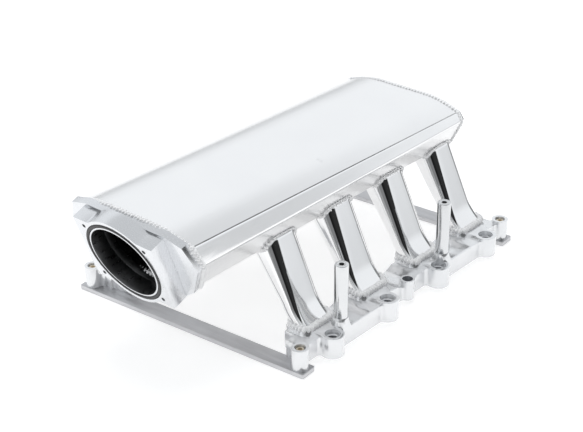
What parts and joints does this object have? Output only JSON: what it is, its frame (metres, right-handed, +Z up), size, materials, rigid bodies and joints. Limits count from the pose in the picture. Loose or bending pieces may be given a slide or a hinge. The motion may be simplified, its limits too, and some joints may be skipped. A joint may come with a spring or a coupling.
{
  "type": "engine intake manifold",
  "caption": "Fabricated aluminium intake manifold: box plenum on two rows of runners and port flanges, with a tilted throttle opening.",
  "frame": {"origin": "bottom centre of the whole manifold, on the surface its cross bars stand on", "axes": "+Z up, +Y along the crankshaft from the throttle end to the rear, +X across the engine"},
  "size_m": [0.3882, 0.595, 0.2097],
  "materials": {
    "satin_sheet": "satin anodised sheet",
    "milled_plate": "fine milled",
    "seal_rubber": "smooth",
    "milled_flange": "polished milled",
    "bar_stock": "brushed flat bar",
    "screw_steel": "yellow-tinted zinc plate",
    "polished_tube": "polished"
  },
  "bodies": {
    "root": {"plenum_upper_shell": "satin_sheet", "plenum_lower_shell": "satin_sheet", "rear_end_plate": "satin_sheet", "front_end_plate": "milled_plate", "throttle_block": "milled_plate", "throttle_o_ring": "seal_rubber", "head_flange_right": "milled_flange", "head_flange_left": "milled_flange", "front_cross_bar": "bar_stock", "rear_cross_bar": "bar_stock", "cross_bar_screws": "screw_steel", "port_seals": "seal_rubber", "runner_1": "polished_tube", "runner_2": "polished_tube", "runner_3": "polished_tube", "runner_4": "polished_tube", "runner_5": "polished_tube", "runner_6": "polished_tube", "runner_7": "polished_tube", "runner_8": "polished_tube", "fuel_rail_post_1": "milled_flange", "fuel_rail_post_2": "milled_flange", "fuel_rail_post_3": "milled_flange", "fuel_rail_post_4": "milled_flange"}
  },
  "joints": []
}
